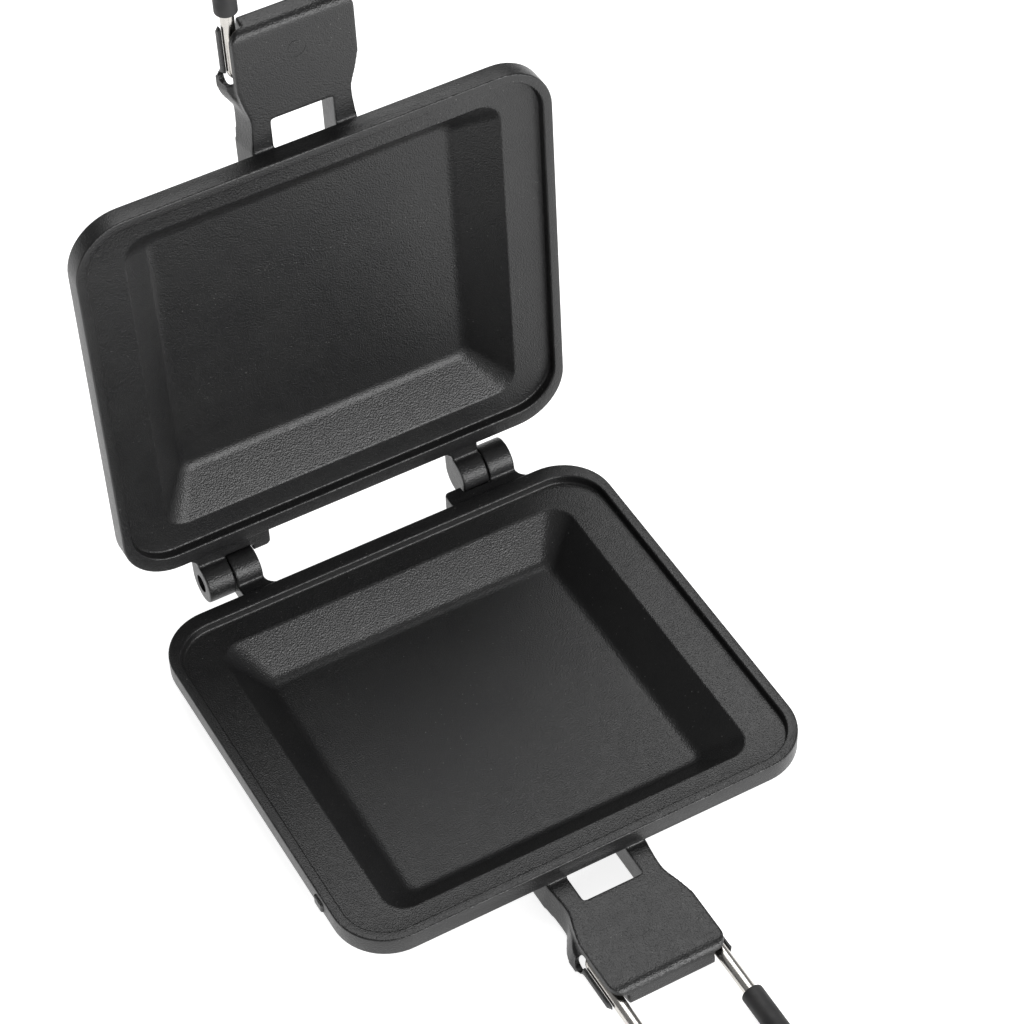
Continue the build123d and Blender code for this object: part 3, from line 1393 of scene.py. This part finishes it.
@dataclass(frozen=True)
class CoatedCast:
    """Matte charcoal non-stick coating sprayed on a cast surface, with fine pale speckle.

    Patterns are in waves or cells to a metre, and depths in metres.
    """

    colour: Colour = (0.010, 0.010, 0.010)
    deep: Colour = (0.007, 0.007, 0.0074)
    clouds: float = 60.0
    speckle: Colour = (0.26, 0.26, 0.25)
    specks: float = 1100.0
    speck_size: float = 0.28
    speck_share: float = 0.35
    orange_peel: float = 520.0
    peel_depth: float = 0.00006
    grain: float = 2300.0
    grain_depth: float = 0.00015
    sheen: float = 260.0
    roughness: Point2 = (0.32, 0.38)
    ior: float = 1.5

    def material(self, name: str) -> bpy.types.Material:
        """Make the coating's material.

        Args:
            name: the material's name.

        Returns:
            The material.
        """
        graph = Graph(name)
        cloud = graph.spread(graph.noise(self.clouds, 4, 0.6), 0.35, 0.65, 0, 1)
        base = graph.mix(cloud, (*self.deep, 1), (*self.colour, 1))
        # Only the brighter cells hold a speck, and the brightest the largest
        dots = graph.cells(self.specks, "Distance")
        reach = graph.spread(graph.cells(self.specks, "Color"), 0.7, 1.0, 0.0, self.speck_size)
        speck = graph.math("LESS_THAN", dots, reach)
        base = graph.mix(graph.math("MULTIPLY", speck, self.speck_share), base, (*self.speckle, 1))
        roughness = graph.spread(graph.noise(self.sheen, 3), 0.3, 0.7, *self.roughness)
        relief = graph.bump(graph.noise(self.orange_peel, 2), self.peel_depth, 0.6)
        relief = graph.bump(graph.noise(self.grain, 1), self.grain_depth, 1.0, relief)
        return graph.surface({"Base Color": base, "Roughness": roughness, "Normal": relief, "IOR": self.ior})


@dataclass(frozen=True)
class DrawnWire:
    """Bright stainless wire, unevenly polished and finely scuffed."""

    colour: Colour = (0.62, 0.60, 0.57)
    worn: Colour = (0.50, 0.48, 0.45)
    clouds: float = 120.0
    polish: float = 420.0
    roughness: Point2 = (0.16, 0.28)
    scuffs: float = 2600.0
    scuff_depth: float = 0.00002

    def material(self, name: str) -> bpy.types.Material:
        """Make the wire's material.

        Args:
            name: the material's name.

        Returns:
            The material.
        """
        graph = Graph(name)
        cloud = graph.spread(graph.noise(self.clouds, 3), 0.3, 0.7, 0, 1)
        base = graph.mix(cloud, (*self.worn, 1), (*self.colour, 1))
        roughness = graph.spread(graph.noise(self.polish, 3), 0.3, 0.7, *self.roughness)
        relief = graph.bump(graph.noise(self.scuffs, 2), self.scuff_depth, 0.35)
        return graph.surface({"Base Color": base, "Metallic": 1.0, "Roughness": roughness, "Normal": relief})


@dataclass(frozen=True)
class PinSteel:
    """Plain turned steel with a slightly dull face."""

    colour: Colour = (0.40, 0.40, 0.40)
    dulled: float = 0.6
    clouds: float = 700.0
    turning: float = 900.0
    roughness: Point2 = (0.28, 0.42)
    scuffs: float = 3000.0
    scuff_depth: float = 0.00002

    def material(self, name: str) -> bpy.types.Material:
        """Make the pin's material.

        Args:
            name: the material's name.

        Returns:
            The material.
        """
        graph = Graph(name)
        cloud = graph.spread(graph.noise(self.clouds, 3), 0.3, 0.7, 0, 1)
        dark = tuple(value * self.dulled for value in self.colour)
        base = graph.mix(cloud, (*dark, 1), (*self.colour, 1))
        roughness = graph.spread(graph.noise(self.turning, 2), 0.3, 0.7, *self.roughness)
        relief = graph.bump(graph.noise(self.scuffs, 2), self.scuff_depth, 0.4)
        return graph.surface({"Base Color": base, "Metallic": 1.0, "Roughness": roughness, "Normal": relief})


@dataclass(frozen=True)
class SleeveRubber:
    """Matte black heat-resistant sleeve with a fine dry grain and a little dust."""

    colour: Colour = (0.014, 0.014, 0.015)
    dusty: Colour = (0.030, 0.029, 0.029)
    clouds: float = 160.0
    rubbing: float = 300.0
    roughness: Point2 = (0.55, 0.72)
    grain: float = 1900.0
    grain_depth: float = 0.00004

    def material(self, name: str) -> bpy.types.Material:
        """Make the sleeve's material.

        Args:
            name: the material's name.

        Returns:
            The material.
        """
        graph = Graph(name)
        cloud = graph.spread(graph.noise(self.clouds, 4), 0.35, 0.7, 0, 1)
        base = graph.mix(cloud, (*self.colour, 1), (*self.dusty, 1))
        roughness = graph.spread(graph.noise(self.rubbing, 3), 0.3, 0.7, *self.roughness)
        relief = graph.bump(graph.noise(self.grain, 3), self.grain_depth, 0.6)
        return graph.surface({"Base Color": base, "Roughness": roughness, "Normal": relief})


@dataclass(frozen=True)
class Lamp:
    """A soft rectangular lamp."""

    name: str
    place: Point3
    size: Point2
    power: float

    def hang(self, aim: Point3) -> None:
        """Hang the lamp where it belongs, looking at a point.

        Args:
            aim: the point that it looks at.
        """
        data = bpy.data.lights.new(self.name, "AREA")
        data.shape = "RECTANGLE"
        data.size, data.size_y = self.size
        data.energy = self.power
        lamp = bpy.data.objects.new(self.name, data)
        bpy.context.scene.collection.objects.link(lamp)
        lamp.location = self.place
        lamp.rotation_euler = (Vector(aim) - Vector(self.place)).to_track_quat("-Z", "Y").to_euler()


@dataclass
class Studio:
    """Pale floor and sky, soft lamps, and the camera of the photograph."""

    camera_place: Point3 = (-0.27807, -0.56083, 0.76397)
    camera_turn: Point3 = (2.3221, -0.6188, 0.2051)
    lens: float = 117.72
    sensor: float = 36.0
    shift: Point2 = (-0.0011, 0.0032)
    sight: float = 20.0
    floor_size: float = 6.0
    floor_shade: float = 0.72
    floor_white: float = 0.84
    sky: float = 0.33
    aim: Point3 = (0.0, 0.0, 0.05)
    lamps: tuple[Lamp, ...] = (
        Lamp("front", (0.45, -1.35, 0.52), (1.3, 0.75), 24.0),
        Lamp("top", (0.3, 0.7, 1.5), (1.2, 1.2), 15.0),
    )

    def white(self, name: str, shade: float, seen: float) -> bpy.types.Material:
        """A matte pale surface that a camera sees as plain white where no shadow falls.

        Args:
            name: the material's name.
            shade: its colour for the light it gives back.
            seen: how much white light is added for camera and mirror rays.

        Returns:
            The material.
        """
        graph = Graph(name)
        dust = graph.spread(graph.noise(3, 2), 0.3, 0.7, shade - 0.01, shade + 0.01)
        colour = graph.node("CombineColor", {0: dust, 1: dust, 2: dust}).outputs[0]
        matte = graph.node("BsdfDiffuse", {"Color": colour})
        glow = graph.node("Emission", {"Color": (1, 1, 1, 1), "Strength": seen})
        both = graph.node("AddShader")
        graph.tree.links.new(matte.outputs[0], both.inputs[0])
        graph.tree.links.new(glow.outputs[0], both.inputs[1])
        path = graph.node("LightPath").outputs
        seen_by = graph.math("MAXIMUM", path["Is Camera Ray"], path["Is Glossy Ray"])
        seen_by = graph.math("MAXIMUM", seen_by, path["Is Transmission Ray"])
        choice = graph.node("MixShader", {0: seen_by})
        graph.tree.links.new(matte.outputs[0], choice.inputs[1])
        graph.tree.links.new(both.outputs[0], choice.inputs[2])
        graph.tree.links.new(choice.outputs[0], graph.output.inputs["Surface"])
        return graph.material

    def floor(self) -> bpy.types.Object:
        """The pale floor that the lower pan rests on.

        Returns:
            The floor as one square face.
        """
        half = self.floor_size / 2
        corners = [(-half, -half, 0), (half, -half, 0), (half, half, 0), (-half, half, 0)]
        mesh = bpy.data.meshes.new("floor")
        mesh.from_pydata(corners, [], [(0, 1, 2, 3)])
        mesh.materials.append(self.white("pale_floor", self.floor_shade, self.floor_white))
        return Workshop.link(mesh, "floor")

    def world(self) -> None:
        """A soft even sky, brighter where the camera looks straight at it."""
        world = bpy.data.worlds.new("studio")
        bpy.context.scene.world = world
        world.use_nodes = True
        nodes, links = world.node_tree.nodes, world.node_tree.links
        nodes.clear()
        path = nodes.new("ShaderNodeLightPath")
        share = nodes.new("ShaderNodeMath")
        share.operation = "MAXIMUM"
        links.new(path.outputs["Is Camera Ray"], share.inputs[0])
        links.new(path.outputs["Is Transmission Ray"], share.inputs[1])
        strength = nodes.new("ShaderNodeMapRange")
        strength.inputs["To Min"].default_value = self.sky
        strength.inputs["To Max"].default_value = 1.0
        links.new(share.outputs[0], strength.inputs["Value"])
        sky = nodes.new("ShaderNodeBackground")
        links.new(strength.outputs["Result"], sky.inputs["Strength"])
        end = nodes.new("ShaderNodeOutputWorld")
        links.new(sky.outputs[0], end.inputs["Surface"])

    def camera(self) -> None:
        """Stand the camera where the photograph was taken from."""
        data = bpy.data.cameras.new("camera")
        data.lens = self.lens
        data.sensor_width = self.sensor
        data.sensor_fit = "HORIZONTAL"
        data.shift_x, data.shift_y = self.shift
        data.clip_end = self.sight
        camera = bpy.data.objects.new("camera", data)
        bpy.context.scene.collection.objects.link(camera)
        # The turn's length is its angle. It gives axes with y down and z ahead, and a camera here has y up
        # and looks along -z.
        turn = Vector(self.camera_turn)
        to_camera = Matrix.Rotation(turn.length, 3, turn.normalized())
        flip = Matrix(((1, 0, 0), (0, -1, 0), (0, 0, -1)))
        pose = (flip @ to_camera).transposed().to_4x4()
        camera.matrix_world = Matrix.Translation(self.camera_place) @ pose
        bpy.context.scene.camera = camera

    def build(self) -> None:
        """Set up floor, lamps, sky and camera."""
        self.floor()
        for lamp in self.lamps:
            lamp.hang(self.aim)
        self.world()
        self.camera()
        bpy.context.scene.view_settings.view_transform = "Standard"


def main() -> None:
    """Build the castings, the handles and the pins, then the studio."""
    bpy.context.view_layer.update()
    sizes = CastingSizes()
    finishes = Finishes(
        coating=CoatedCast().material("coated_cast"),
        wire=DrawnWire().material("drawn_wire"),
        pin=PinSteel().material("pin_steel"),
        sleeve=SleeveRubber().material("sleeve_rubber"),
    )
    for half in Half:
        for part in (Casting(half, sizes), HandleWire(half, sizes), HingePin(half, sizes)):
            for piece in part.assemble(finishes):
                log.info("%s: %d faces", piece.name, len(piece.data.polygons))
    Studio().build()


if __name__ == "__main__":
    logging.basicConfig(level=logging.INFO, format="%(message)s")
    main()
